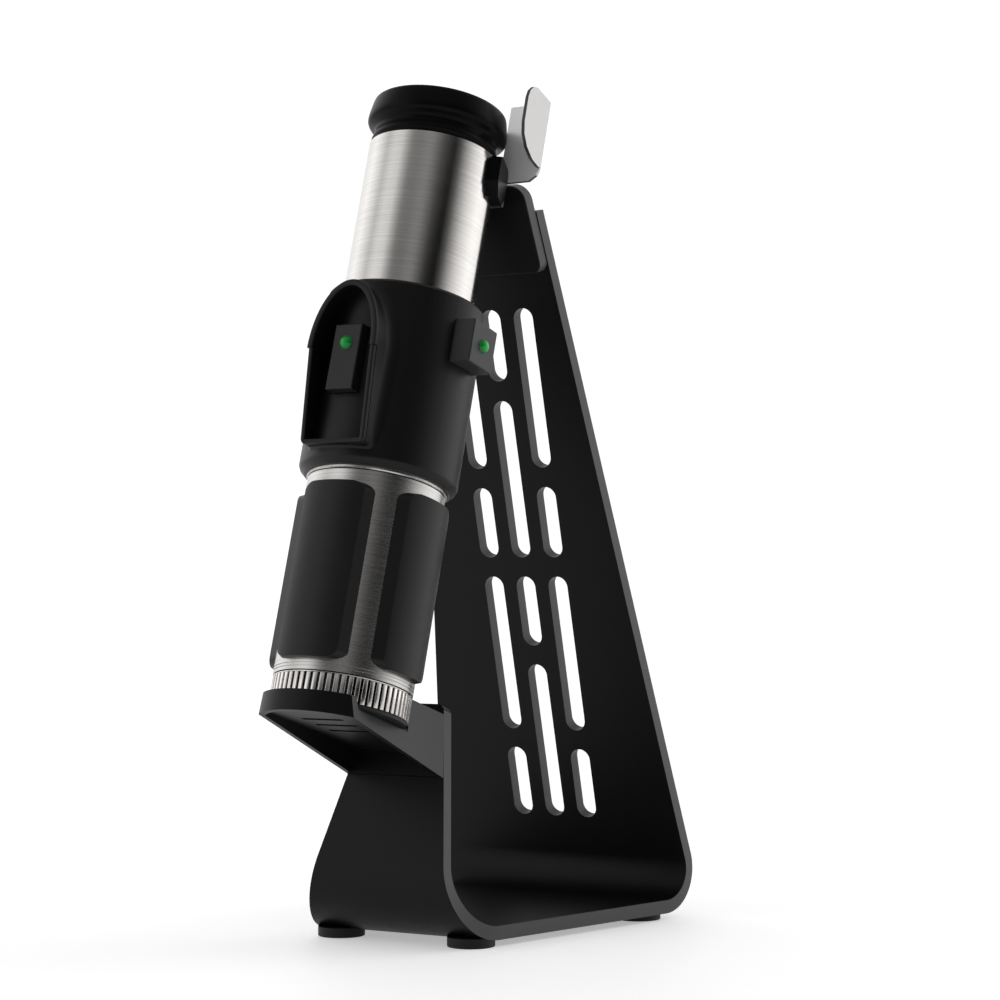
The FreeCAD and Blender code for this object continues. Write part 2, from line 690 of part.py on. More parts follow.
def grip_pad():
    """Rubber pad on the front of the grip: sides slope down to the sleeve and corners are round."""
    def on_circle(radius, angle):
        a = math.radians(angle)
        return Vector(radius * math.sin(a), -radius * math.cos(a), PAD_BOTTOM)

    foot, face = PAD_HALF_ANGLE, PAD_FACE_ANGLE
    wire = Part.Wire([
        Part.Arc(on_circle(GRIP_R, -foot), on_circle(GRIP_R, 0), on_circle(GRIP_R, foot)).toShape(),
        Part.makeLine(on_circle(GRIP_R, foot), on_circle(PAD_R, face)),
        Part.Arc(on_circle(PAD_R, face), on_circle(PAD_R, 0), on_circle(PAD_R, -face)).toShape(),
        Part.makeLine(on_circle(PAD_R, -face), on_circle(GRIP_R, -foot)),
    ])
    pad = Part.Face(wire).extrude(Vector(0, 0, PAD_TOP - PAD_BOTTOM))
    return fillet_edges(pad, PAD_CORNER_R, is_pad_corner)


def is_pad_corner(edge):
    """True for the short sloping edges at a pad's corners."""
    return edge.BoundBox.ZLength < 0.01 and edge.Length < 8.0


def knurled_ring():
    """Steel ring at the bottom with upright ribs."""
    ring = tube(RING_R, 24.0, RING_BOTTOM, RING_TOP)
    slot = block(-0.5, 0.5, -RING_R - 1, -RING_R + 0.9, RING_BOTTOM - 1, RING_TOP - 0.5)
    cuts = [turned(slot, 360.0 * i / RING_RIBS) for i in range(RING_RIBS)]
    return ring.cut(cuts)


def end_plug():
    """Black plug that closes the opener's lower end, inside the knurled ring."""
    plug = rod(25.2, 0.0, RING_BOTTOM).fuse(rod(24.0, RING_BOTTOM, 9.0))
    return plug.cut([rod(21.5, 3.0, 9.5), rod(4.2, -1, 4)]).removeSplitter()


def inner_frame():
    """Moulded tube inside the grip that carries the cells and joins the collar."""
    outer = GRIP_R - GRIP_WALL
    shell = tube(outer, outer - 1.5, RING_TOP + 0.2, 92.0)
    floor = rod(outer - 1.5, RING_TOP + 0.2, 13.2).cut(rod(4.0, 10, 14))
    roof = rod(outer - 1.5, 86.6, 88.6).cut(rod(3.5, 80, 90))
    return shell.fuse([floor, roof]).removeSplitter()


CELL_R = 9.2
CELL_X = 9.6


def battery_cell(side):
    """One rechargeable cell with its button end up."""
    x = side * CELL_X
    return rod(CELL_R, 15.0, 79.0, x).fuse(rod(2.8, 79.0, 80.2, x))


def battery_contacts():
    """Contact plates at the ends of the cells."""
    low = block(-15, 15, -3.5, 3.5, 13.2, 13.6)
    low_bumps = [Part.makeCone(4.5, 2.0, 1.4, Vector(s * CELL_X, 0, 13.6), Z_AXIS) for s in (-1, 1)]
    high = []
    for s in (-1, 1):
        plate = block(s * CELL_X - 4, s * CELL_X + 4, -3.5, 3.5, 80.2, 80.6)
        high.append(plate.fuse(rod(1.6, 80.6, 86.6, s * CELL_X)))
    return [low.fuse(low_bumps)] + high


def charge_socket():
    """Round charging socket in the middle of the lower end."""
    body = rod(3.8, 5.2, 11.4).fuse(rod(6.5, 10.2, 11.4)).cut(rod(2.8, 5.0, 10.0))
    return body.fuse(rod(0.9, 7.0, 10.5))


# ---- opener: drive ----
def tooth_corners(root, pitch, tip):
    """Corners of one straight-flanked tooth: radius and share of a tooth's step."""
    rising = [(root, 0.33), (pitch, 0.21), (tip, 0.10)]
    return rising + [(radius, -share) for radius, share in reversed(rising)]


def gear(teeth, face_w, z0, bore, tooth_at=0.0):
    """Spur gear with straight-flanked teeth; one tooth lies at angle tooth_at from +x."""
    pitch = MODULE * teeth / 2
    tip, root = pitch + 0.85 * MODULE, pitch - 1.15 * MODULE
    step = 2 * math.pi / teeth
    points = []
    for i in range(teeth):
        mid = math.radians(tooth_at) + i * step
        for radius, share in tooth_corners(root, pitch, tip):
            angle = mid - share * step
            points.append(Vector(radius * math.cos(angle), radius * math.sin(angle), z0))
    solid = polygon(points).extrude(Vector(0, 0, face_w))
    return solid.cut(rod(bore, z0 - 1, z0 + face_w + 1))


def ring_gear():
    """Fixed internal gear, with three lugs of material round it."""
    pitch = MODULE * RING_TEETH / 2
    tip, root = pitch - 0.85 * MODULE, pitch + 1.15 * MODULE
    step = 2 * math.pi / RING_TEETH
    points = []
    for i in range(RING_TEETH):
        mid = i * step
        for radius, share in tooth_corners(root, pitch, tip):
            angle = mid - share * step
            points.append(Vector(radius * math.cos(angle), radius * math.sin(angle), GEAR_Z - 1.0))
    hole = polygon(points).extrude(Vector(0, 0, GEAR_FACE + 2.0))
    case = rod(CASE_R, GEAR_Z - 1.0, GEAR_Z + GEAR_FACE + 1.0)
    return case.cut([hole] + case_holes())


ORBIT = MODULE * (SUN_TEETH + PLANET_TEETH) / 2
PIN_R = 1.4


def planet(index):
    """Planet gear with a gap facing the sun."""
    gap_facing = 180.0 / PLANET_TEETH
    one = gear(PLANET_TEETH, GEAR_FACE - 0.6, GEAR_Z + 0.3, PIN_R + SPIN_GAP, gap_facing)
    one.translate(Vector(ORBIT, 0, 0))
    return turned(one, 360.0 * index / PLANETS)


def planet_carrier():
    """Output plate with three planet pins."""
    top = GEAR_Z + GEAR_FACE
    plate = rod(12.6, top + 0.2, top + 2.6)
    pins = [turned(rod(PIN_R, GEAR_Z + 0.3, top + 1.0, ORBIT), 360.0 * i / PLANETS) for i in range(PLANETS)]
    return plate.fuse(pins)


def motor_can():
    """Steel motor can with a nose that the shaft leaves through."""
    can = rod(13.8, 92.5, 124.0).cut(rod(12.6, 92.0, 122.8))
    nose = rod(4.0, 124.0, 125.4)
    return can.fuse(nose).cut(rod(1.3, 90, 130))


def motor_shaft():
    """Motor shaft with its wound rotor."""
    return rod(1.2, 91.2, GEAR_Z + 5.0).fuse(rod(10.8, 97.0, 119.0))


def motor_end():
    """Moulded end bell with two terminals."""
    bell = rod(13.8, 90.6, 92.5).fuse(rod(12.5, 92.5, 94.2)).cut(rod(1.3, 90, 96))
    return bell.fuse([block(-9, -7, -0.8, 0.8, 89.0, 90.6), block(7, 9, -0.8, 0.8, 89.0, 90.6)])


def gearbox_plate():
    """Plate between the motor and the gears."""
    return rod(CASE_R, 124.0, GEAR_Z - 1.0).cut([rod(4.0, 120, 130)] + case_holes())


def bearing_plate():
    """Cover over the gears with the spindle's bearing seat."""
    base = GEAR_Z + GEAR_FACE + 1.0
    cup = rod(CASE_R, base, base + 6.0)
    return cup.cut([rod(13.2, base - 1, base + 2.4), rod(6.5, base, base + 8)] + case_holes())


def spindle_bearing():
    """Flanged bush round the spindle."""
    base = GEAR_Z + GEAR_FACE + 3.4
    return rod(6.5, base, base + 3.6).cut(rod(4.0 + SPIN_GAP, base - 1, base + 8))


def spindle():
    """Output spindle with the hub that grips the worm."""
    low = GEAR_Z + GEAR_FACE + 2.6
    return rod(4.0, low, 146.0).fuse(rod(7.5, 146.0, 154.0)).cut(rod(WORM_WIRE, 141.0, 156.0))


WORM_WIRE = 1.6
WORM_PITCH = 9.0
WORM_R = 3.4


def worm():
    """Screw that enters the cork: a tapering-tip helix on a straight root."""
    turns = 6.0
    start = 155.9
    height = WORM_PITCH * (turns - 0.4)
    helix = Part.makeHelix(WORM_PITCH, height, WORM_R)
    helix.translate(Vector(0, 0, start))
    heading = Vector(0, 1, WORM_PITCH / (2 * math.pi * WORM_R))
    circle = Part.Wire(Part.makeCircle(WORM_WIRE, Vector(WORM_R, 0, start), heading))
    coil = Part.Wire(helix.Edges).makePipeShell([circle], True, True)
    root = rod(WORM_WIRE, 141.0, start + 1.0)
    arm = Part.makeCylinder(WORM_WIRE, WORM_R, Vector(0, 0, start + 0.2), X_AXIS)
    return coil.fuse([root, arm])


def bottle_guide():
    """Moulded guide in the barrel: a stop for the bottle's lip and the bore for the cork."""
    outer = TUBE_R - TUBE_WALL
    base = GEAR_Z + GEAR_FACE + 7.0
    guide = rod(outer, TUBE_BOTTOM, STOP_Z).fuse(rod(18.5, base, TUBE_BOTTOM))
    return guide.cut([rod(CORK_R, 156.0, 220.0), rod(8.0, base - 1, 157.0)]).removeSplitter()


def mouth_seal():
    """Soft ring under the flange's spigot."""
    return tube(TUBE_R - TUBE_WALL, MOUTH_R + 0.2, STOP_Z, 214.5)


def circuit_board():
    """Control board behind the front button, with its components."""
    board = block(-14.5, 14.5, -21.0, -19.6, 108.0, 147.0)
    chips = [block(-5, 5, -19.6, -18.2, 110, 116), block(7, 12, -19.6, -18.6, 142, 146)]
    post = block(-3, 3, -19.6, -17.0, 128, 133).cut(rod(CASE_R, 120, 140))
    return board.fuse(chips + [post])


def side_board():
    """Small board behind the side button."""
    post = block(17.0, 19.6, -3, 3, 134, 139).cut(rod(CASE_R, 120, 145))
    return block(19.6, 21.0, -7.5, 7.5, 132.0, 148.5).fuse(post)


def chassis_screws():
    """Three screws that hold the gear case to the motor plate."""
    seat = GEAR_Z + GEAR_FACE + 5.8
    return [screw(1.45, 1.0, 0.8, 15.5, (x, y, seat), (0, 0, -1)) for x, y in case_screw_places()]


def case_screw_places():
    """Centres of the three case screws."""
    angles = [math.radians(60 + 120 * i) for i in range(3)]
    return [(CASE_SCREW_R * math.cos(a), CASE_SCREW_R * math.sin(a)) for a in angles]


def case_holes():
    """Through holes and head recesses for the case screws."""
    seat = GEAR_Z + GEAR_FACE + 5.8
    holes = []
    for x, y in case_screw_places():
        holes.append(rod(0.8, 100, seat, x, y))
        holes.append(rod(1.55, seat, seat + 4, x, y))
    return holes


def foot(name):
    """Rubber foot trimmed to the plate above it."""
    x, run = FEET[name]
    y = RISER_Y + run
    solid = rod(FOOT_R, 0, FOOT_H + 1.2, x, y)
    solid = fillet_edges(solid, 0.5, lambda e: e.BoundBox.ZMax < 0.01)
    return solid.cut(rod(3.4, -1, 1.4, x, y))


def foot_screws():
    """One screw up through each foot into the plate."""
    screws = []
    for x, run in FEET.values():
        screws.append(screw(2.8, 1.0, 1.4, FOOT_H + 2.6, (x, RISER_Y + run, 1.4), (0, 0, 1)))
    return screws


def solids(shapes):
    """Group of separate solids in one node."""
    return Part.makeCompound(shapes)


def build_stand():
    """Write the stand's nodes."""
    plate = stand_plate()
    plate = plate.cut([rear_hole(1.6, x, z) for x in (-9, 9) for z in SCREW_Z])
    place = frame_at(back_point(0, 0), BACK_LEAN)
    rest_holes = []
    for x in (-12, 12):
        hole = rod(1.3, -20, 5, x, REST_BOTTOM + 12)
        hole.Placement = place
        rest_holes.append(hole)
    foot_holes = [rod(1.4, 0, 6.5, x, RISER_Y + run) for x, run in FEET.values()]
    plate = plate.cut(rest_holes + foot_holes)
    save("stand_frame", plate)
    save("rest_plate", rest_plate())
    save("rest_plate_screws", solids(rest_screws()))
    save("cradle", cradle())
    save("cradle_liner", cradle_liner())
    save("cradle_screws", solids(cradle_screws()))
    screws = foot_screws()
    for name in FEET:
        save(name, foot(name).cut(plate).cut([rod(1.4, 0, 6, FEET[name][0], RISER_Y + FEET[name][1])]))
    save("foot_screws", solids(screws))


def build_opener():
    """Write the opener's nodes."""
    save_opener("mouth_flange", mouth_flange())
    save_opener("mouth_seal", mouth_seal())
    save_opener("steel_barrel", tube(TUBE_R, TUBE_R - TUBE_WALL, TUBE_BOTTOM, TUBE_TOP))
    save_opener("bottle_guide", bottle_guide())
    save_opener("clip_mount", clip_mount())
    save_opener("hook_clip", hook_clip())
    save_opener("clip_screws", solids(clip_screws()))
    save_opener("collar_housing", collar_housing())
    save_opener("button_hood", button_hood())
    front = button(FRONT_BUTTON).cut(lens_pocket(FRONT_BUTTON, FRONT_LENS_Z))
    save_opener("front_button", front)
    save_opener("front_button_lens", lens(FRONT_BUTTON, FRONT_LENS_Z).cut(front))
    side = button(SIDE_BUTTON).cut(lens_pocket(SIDE_BUTTON, SIDE_LENS_Z))
    save_opener("side_button", turned(side, 90))
    save_opener("side_button_lens", turned(lens(SIDE_BUTTON, SIDE_LENS_Z).cut(side), 90))
    save_opener("front_switch", switch(127.7))
    save_opener("side_switch", turned(switch(142.3), 90))
    save_opener("circuit_board", circuit_board())
    save_opener("side_board", side_board())
    save_opener("grip_sleeve", grip_sleeve())
    save_opener("upper_band", upper_band())
    for name, angle in (("front", 0), ("right", 90), ("back", 180), ("left", 270)):
        save_opener("grip_pad_" + name, turned(grip_pad(), angle))
    save_opener("inner_frame", inner_frame())
    for name, side_sign in (("left", -1), ("right", 1)):
        save_opener("battery_cell_" + name, battery_cell(side_sign))
    save_opener("battery_contacts", solids(battery_contacts()))
    save_opener("charge_socket", charge_socket())
    save_opener("knurled_ring", knurled_ring())
    save_opener("end_plug", end_plug())


def build_drive():
    """Write the motor, gears and worm."""
    save_opener("motor_can", motor_can())
    save_opener("motor_end_bell", motor_end())
    save_opener("motor_rotor", motor_shaft())
    save_opener("sun_pinion", gear(SUN_TEETH, GEAR_FACE - 1.5, GEAR_Z, 1.2))
    save_opener("gearbox_plate", gearbox_plate())
    save_opener("ring_gear", ring_gear())
    for i in range(PLANETS):
        save_opener("planet_gear_" + str(i + 1), planet(i))
    save_opener("planet_carrier", planet_carrier())
    save_opener("bearing_plate", bearing_plate())
    save_opener("spindle_bearing", spindle_bearing())
    save_opener("spindle", spindle())
    save_opener("worm", worm())
    save_opener("gearbox_screws", solids(chassis_screws()))


os.makedirs("parts", exist_ok=True)
build_stand()
build_opener()
build_drive()
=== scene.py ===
import logging
import math
from dataclasses import dataclass, field
from enum import Enum
from typing import Any, Callable, Iterable, Sequence

import bmesh
import bpy
from mathutils import Euler, Matrix, Vector


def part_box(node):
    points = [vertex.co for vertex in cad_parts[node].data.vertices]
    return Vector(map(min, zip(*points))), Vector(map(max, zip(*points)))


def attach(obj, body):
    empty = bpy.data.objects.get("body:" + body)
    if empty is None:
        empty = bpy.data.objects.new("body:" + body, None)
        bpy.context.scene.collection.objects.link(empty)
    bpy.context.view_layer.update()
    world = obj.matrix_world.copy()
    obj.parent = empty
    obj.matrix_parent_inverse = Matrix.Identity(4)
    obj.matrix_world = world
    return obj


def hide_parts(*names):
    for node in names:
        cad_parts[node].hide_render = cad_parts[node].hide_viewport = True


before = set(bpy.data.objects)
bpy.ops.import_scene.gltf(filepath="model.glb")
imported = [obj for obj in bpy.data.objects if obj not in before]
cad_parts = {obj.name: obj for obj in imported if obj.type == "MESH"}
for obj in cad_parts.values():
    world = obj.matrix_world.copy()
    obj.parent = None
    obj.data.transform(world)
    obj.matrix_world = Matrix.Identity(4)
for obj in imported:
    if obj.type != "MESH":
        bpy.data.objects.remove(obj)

MM = 0.001
# attribute that holds each face's level of painted light and shade
PAINTED_LIGHT_ATTRIBUTE = "painted_light_level"
log = logging.getLogger("wine_opener")

Rings = Sequence[tuple[float, float]]


class Side(Enum):
    """Places round the grip, as angles from the front towards the right."""

    FRONT = 0.0
    RIGHT = 90.0
    BACK = 180.0
    LEFT = 270.0


# ---------------------------------------------------------------- shader maths


class Wire:
    """A shader socket that can be used in arithmetic."""

    def __init__(self, graph: "Graph", socket: Any) -> None:
        """Keep the socket and the graph that it is in."""
        self.graph = graph
        self.socket = socket

    def _with(self, operation: str, *values: Any) -> "Wire":
        """Add a Math node.

        Args:
            operation: Math operation.
            values: sockets or numbers, in order.

        Returns:
            The node's output.
        """
        inputs = {index: value for index, value in enumerate(values)}
        return self.graph.add("ShaderNodeMath", {"operation": operation}, inputs)

    def __add__(self, other: Any) -> "Wire":
        """Sum."""
        return self._with("ADD", self, other)

    def __radd__(self, other: Any) -> "Wire":
        """Sum, reflected."""
        return self._with("ADD", other, self)

    def __sub__(self, other: Any) -> "Wire":
        """Difference."""
        return self._with("SUBTRACT", self, other)

    def __rsub__(self, other: Any) -> "Wire":
        """Difference, reflected."""
        return self._with("SUBTRACT", other, self)

    def __mul__(self, other: Any) -> "Wire":
        """Product."""
        return self._with("MULTIPLY", self, other)

    def __rmul__(self, other: Any) -> "Wire":
        """Product, reflected."""
        return self._with("MULTIPLY", other, self)


class Graph:
    """Node tree of one material, or of the world, built by name."""

    def __init__(self, name: str, world: bool = False) -> None:
        """Start an empty node tree.

        Args:
            name: the material's or world's name.
            world: make a world instead of a material.
        """
        self.material = (bpy.data.worlds if world else bpy.data.materials).new(name)
        self.material.use_nodes = True
        self.tree = self.material.node_tree
        self.tree.nodes.clear()

    def add(self, kind: str, settings: dict[str, Any] | None = None,
            inputs: dict[Any, Any] | None = None, output: Any = 0) -> Wire:
        """Add a node.

        Args:
            kind: node type.
            settings: attributes that are set first.
            inputs: values or wires by socket name or number.
            output: the output to return.

        Returns:
            The chosen output.
        """
        node = self.tree.nodes.new(kind)
        for key, value in (settings or {}).items():
            setattr(node, key, value)
        for key, value in (inputs or {}).items():
            if isinstance(value, Wire):
                self.tree.links.new(value.socket, node.inputs[key])
            else:
                node.inputs[key].default_value = value
        return Wire(self, node.outputs[output])

    def ramp(self, factor: Wire, stops: Sequence[tuple[float, float]]) -> Wire:
        """Grey ramp.

        Args:
            factor: input value.
            stops: position and level pairs.

        Returns:
            The ramp's level.
        """
        wire = self.add("ShaderNodeValToRGB", {}, {"Fac": factor})
        ramp = wire.socket.node.color_ramp
        for index, (position, level) in enumerate(stops):
            element = ramp.elements[index] if index < 2 else ramp.elements.new(position)
            element.position = position
            element.color = (level, level, level, 1.0)
        return wire

    def place(self, tilt: float, origin: Vector, scale: Sequence[float]) -> Wire:
        """Object coordinates turned to a leaning axis and scaled.

        Args:
            tilt: angle about X that stands the axis upright.
            origin: point that becomes the centre.
            scale: scale along each turned axis.

        Returns:
            The vector.
        """
        where = self.add("ShaderNodeTexCoord", {}, {}, "Object")
        shifted = self.add("ShaderNodeVectorMath", {"operation": "SUBTRACT"},
                           {0: where, 1: tuple(origin)})
        upright = self.add("ShaderNodeMapping", {}, {"Vector": shifted, "Rotation": (tilt, 0.0, 0.0)})
        return self.add("ShaderNodeMapping", {}, {"Vector": upright, "Scale": tuple(scale)})

    def noise(self, vector: Wire, scale: float, detail: float, roughness: float = 0.5) -> Wire:
        """Noise level at a vector."""
        return self.add("ShaderNodeTexNoise", {},
                        {"Vector": vector, "Scale": scale, "Detail": detail, "Roughness": roughness})

    def tint(self, factor: Wire, low: Sequence[float], high: Sequence[float]) -> Wire:
        """Colour between two colours."""
        return self.add("ShaderNodeMix", {"data_type": "RGBA"},
                        {0: factor, 6: (*low, 1.0), 7: (*high, 1.0)}, 2)

    def bump(self, height: Wire, strength: float, distance: float) -> Wire:
        """Normal bent by a height."""
        return self.add("ShaderNodeBump", {},
                        {"Height": height, "Strength": strength, "Distance": distance})

    def finish(self, inputs: dict[str, Any]) -> bpy.types.Material:
        """Close the material with one Principled shader.

        Args:
            inputs: its sockets.

        Returns:
            The material.
        """
        shader = self.add("ShaderNodeBsdfPrincipled", {}, inputs, "BSDF")
        self.add_output(shader)
        return self.material

    def add_output(self, shader: Wire, kind: str = "ShaderNodeOutputMaterial") -> None:
        """Link the shader to the tree's output."""
        out = self.tree.nodes.new(kind)
        self.tree.links.new(shader.socket, out.inputs["Surface"])


# -------------------------------------------------------------------- opener axis


@dataclass(frozen=True)
class OpenerAxis:
    """Leaning frame of the opener: z runs up its axis and -y is its front."""

    tilt: float = math.radians(16.9)
    seat_y: float = -67.462 * MM
    seat_z: float = 86.687 * MM

    @property
    def origin(self) -> Vector:
        """Seat point on the axis."""
        return Vector((0.0, self.seat_y, self.seat_z))

    @property
    def matrix(self) -> Matrix:
        """From the opener's frame to the stand's."""
        return Matrix.Translation(self.origin) @ Matrix.Rotation(-self.tilt, 4, "X")


AXIS = OpenerAxis()


# ----------------------------------------------------------------------- finishes


@dataclass(frozen=True)
class PowderCoat:
    """Satin black coating with a fine orange peel, and a paler colour painted on marked faces as a painted highlight.
    """

    dark: tuple[float, float, float] = (0.0016, 0.0016, 0.0017)
    light: tuple[float, float, float] = (0.0026, 0.0026, 0.0028)
    # paler colour for faces marked in the attribute: painted highlight on the stand's edges and slot walls
    painted_edge_light_and_shade: tuple[float, float, float] = (0.072, 0.072, 0.073)
    roughness: float = 0.42
    peel: float = 0.00003
    specular: float = 0.22

    def build(self, name: str) -> bpy.types.Material:
        """Make the material.

        Args:
            name: material name.

        Returns:
            The material.
        """
        graph = Graph(name)
        where = graph.add("ShaderNodeTexCoord", {}, {}, "Object")
        cloud = graph.noise(where, 14.0, 3.0)
        peel = graph.noise(where, 1500.0, 2.0)
        rough = self.roughness - 0.05 + cloud * 0.07 + peel * 0.05
        # painted highlight: faces marked in the attribute are mixed towards the paler colour
        edge = graph.add("ShaderNodeAttribute", {"attribute_name": PAINTED_LIGHT_ATTRIBUTE}, {}, "Fac")
        coat = graph.tint(cloud, self.dark, self.light)
        return graph.finish({
            "Base Color": graph.add("ShaderNodeMix", {"data_type": "RGBA"},
                                    {0: edge, 6: coat, 7: (*self.painted_edge_light_and_shade, 1.0)}, 2),
            "Roughness": rough,
            "Specular IOR Level": self.specular,
            "Normal": graph.bump(peel, 0.35, self.peel),
        })


@dataclass(frozen=True)
class TurnedSteel:
    """Brushed stainless steel with the marks running round the opener's axis."""

    dark: tuple[float, float, float] = (0.44, 0.425, 0.41)
    light: tuple[float, float, float] = (0.64, 0.625, 0.605)
    roughness: float = 0.155
    depth: float = 0.000006
    # radius below which the steel is painted darker as painted shade in the recesses between the ring's ribs; 0 for
    # none
    painted_shade_radius: float = 0.0

    def build(self, name: str) -> bpy.types.Material:
        """Make the material.

        Args:
            name: material name.

        Returns:
            The material.
        """
        graph = Graph(name)
        fine = graph.noise(graph.place(AXIS.tilt, AXIS.origin, (26.0, 26.0, 12000.0)), 1.0, 2.0)
        broad = graph.noise(graph.place(AXIS.tilt, AXIS.origin, (12.0, 12.0, 2200.0)), 1.0, 2.0)
        marks = fine * 0.7 + broad * 0.3
        colour = graph.tint(graph.ramp(marks, [(0.3, 0.0), (0.7, 1.0)]), self.dark, self.light)
        # painted shade: steel nearer the axis than the radius is darkened
        if self.painted_shade_radius:
            flat = graph.place(AXIS.tilt, AXIS.origin, (1.0, 1.0, 0.0))
            radius = graph.add("ShaderNodeVectorMath", {"operation": "LENGTH"}, {0: flat}, "Value")
            low = graph.ramp((radius - self.painted_shade_radius) * 2500.0, [(0.0, 0.10), (1.0, 1.0)])
            colour = graph.add("ShaderNodeMix", {"data_type": "RGBA", "blend_type": "MULTIPLY"},
                               {0: 1.0, 6: colour, 7: low}, 2)
        return graph.finish({
            "Base Color": colour,
            "Metallic": 1.0,
            "Roughness": self.roughness - 0.04 + marks * 0.08,
            "Normal": graph.bump(marks, 0.4, self.depth),
        })


@dataclass(frozen=True)
class SheetSteel:
    """Satin sheet with the marks running across it, its leaf painted lighter than its tongue as painted light and its
    edges painted dark as painted shade.
    """

    # painted light: the leaf gets a paler colour than the tongue of the same steel, and the edges get a dark colour
    # as painted shade
    leaf: tuple[float, float, float] = (0.95, 0.945, 0.94)
    tongue: tuple[float, float, float] = (0.66, 0.65, 0.645)
    painted_edge_light_and_shade: tuple[float, float, float] = (0.035, 0.035, 0.035)
    metallic: float = 0.25
    roughness: float = 0.36

    def build(self, name: str) -> bpy.types.Material:
        """Make the material.

        Args:
            name: material name.

        Returns:
            The material.
        """
        graph = Graph(name)
        marks = graph.noise(graph.place(AXIS.tilt, AXIS.origin, (60.0, 60.0, 5000.0)), 1.0, 3.0)
        shade = graph.add("ShaderNodeAttribute", {"attribute_name": PAINTED_LIGHT_ATTRIBUTE}, {}, "Fac")
        # painted light: leaf and tongue get lighter and darker colours of one steel
        painted_leaf_light = graph.add("ShaderNodeMix", {"data_type": "RGBA"},
                           {0: graph.ramp(shade, [(0.0, 0.0), (0.5, 1.0)]),
                            6: (*self.leaf, 1.0), 7: (*self.tongue, 1.0)}, 2)
        worn = graph.add("ShaderNodeMix", {"data_type": "RGBA", "blend_type": "MULTIPLY"},
                         {0: 0.16, 6: painted_leaf_light, 7: marks}, 2)
        # painted shade: faces marked near 1, the sheet's edges, are painted dark
        painted_edge_shade = graph.add("ShaderNodeMix", {"data_type": "RGBA"},
                          {0: graph.ramp(shade, [(0.6, 0.0), (0.9, 1.0)]),
                           6: worn, 7: (*self.painted_edge_light_and_shade, 1.0)}, 2)
        return graph.finish({
            "Base Color": painted_edge_shade,
            "Metallic": self.metallic,
            "Roughness": self.roughness - 0.05 + marks * 0.1,
            "Normal": graph.bump(marks, 0.25, 0.00001),
        })


@dataclass(frozen=True)
class Moulding:
    """Rubber or plastic with a fine moulded grain."""

    dark: tuple[float, float, float]
    light: tuple[float, float, float]
    roughness: float
    grain: float = 0.00002
    specular: float = 0.25

    def build(self, name: str) -> bpy.types.Material:
        """Make the material.

        Args:
            name: material name.

        Returns:
            The material.
        """
        graph = Graph(name)
        where = graph.add("ShaderNodeTexCoord", {}, {}, "Object")
        cloud = graph.noise(where, 30.0, 3.0)
        grain = graph.noise(where, 2600.0, 2.0)
        return graph.finish({
            "Base Color": graph.tint(cloud, self.dark, self.light),
            "Roughness": self.roughness - 0.06 + cloud * 0.06 + grain * 0.06,
            "Specular IOR Level": self.specular,
            "Normal": graph.bump(grain, 0.3, self.grain),
        })


@dataclass(frozen=True)
class PlainMetal:
    """Machined or plated metal of the small and hidden parts."""

    dark: tuple[float, float, float]
    light: tuple[float, float, float]
    roughness: float

    def build(self, name: str) -> bpy.types.Material:
        """Make the material.

        Args:
            name: material name.

        Returns:
            The material.
        """
        graph = Graph(name)
        where = graph.add("ShaderNodeTexCoord", {}, {}, "Object")
        cloud = graph.noise(where, 260.0, 3.0)
        return graph.finish({
            "Base Color": graph.tint(cloud, self.dark, self.light),
            "Metallic": 1.0,
            "Roughness": self.roughness - 0.05 + cloud * 0.1,
        })


@dataclass(frozen=True)
class SignalLens:
    """Clear green lens with a little light in it."""

    centre: Vector
    colour: tuple[float, float, float] = (0.0, 0.42, 0.05)
    glow: tuple[float, float, float] = (0.0, 0.27, 0.03)

    def build(self, name: str) -> bpy.types.Material:
        """Make the material.

        Args:
            name: material name.

        Returns:
            The material.
        """
        graph = Graph(name)
        where = graph.add("ShaderNodeTexCoord", {}, {}, "Object")
        away = graph.add("ShaderNodeVectorMath", {"operation": "DISTANCE"},
                         {0: where, 1: tuple(self.centre)}, "Value")
        core = graph.ramp(away * 400.0, [(0.35, 1.0), (0.95, 0.0)])
        return graph.finish({
            "Base Color": graph.tint(core, (0.0, 0.05, 0.008), self.colour),
            "Roughness": 0.16,
            "Specular IOR Level": 0.25,
            "Coat Weight": 0.2,
            "Emission Color": graph.tint(core, (0.0, 0.06, 0.008), self.glow),
            "Emission Strength": 1.0,
        })


# ------------------------------------------------------------------ mesh making


def deselect() -> None:
    """Clear the selection, in object mode."""
    if bpy.context.object and bpy.context.object.mode != "OBJECT":
        bpy.ops.object.mode_set(mode="OBJECT")
    bpy.ops.object.select_all(action="DESELECT")


def choose(piece: bpy.types.Object) -> None:
    """Make one object the only selected and active one."""
    deselect()
    piece.select_set(True)
    bpy.context.view_layer.objects.active = piece


def select_faces(piece: bpy.types.Object, wanted: Callable[[Any], bool]) -> int:
    """Select faces in edit mode by a test.

    Args:
        piece: the object being edited.
        wanted: test of a face.

    Returns:
        How many faces were selected.
    """
    bpy.ops.mesh.select_mode(type="FACE")
    bpy.ops.mesh.select_all(action="DESELECT")
    mesh = bmesh.from_edit_mesh(piece.data)
    found = 0
    for face in mesh.faces:
        if wanted(face):
            face.select_set(True)
            found += 1
    bmesh.update_edit_mesh(piece.data)
    return found


def select_edges(piece: bpy.types.Object, wanted: Callable[[Any], bool]) -> int:
    """Select edges in edit mode by a test.

    Args:
        piece: the object being edited.
        wanted: test of an edge.

    Returns:
        How many edges were selected.
    """
    bpy.ops.mesh.select_mode(type="EDGE")
    bpy.ops.mesh.select_all(action="DESELECT")
    mesh = bmesh.from_edit_mesh(piece.data)
    found = 0
    for edge in mesh.edges:
        if wanted(edge):
            edge.select_set(True)
            found += 1
    bmesh.update_edit_mesh(piece.data)
    return found


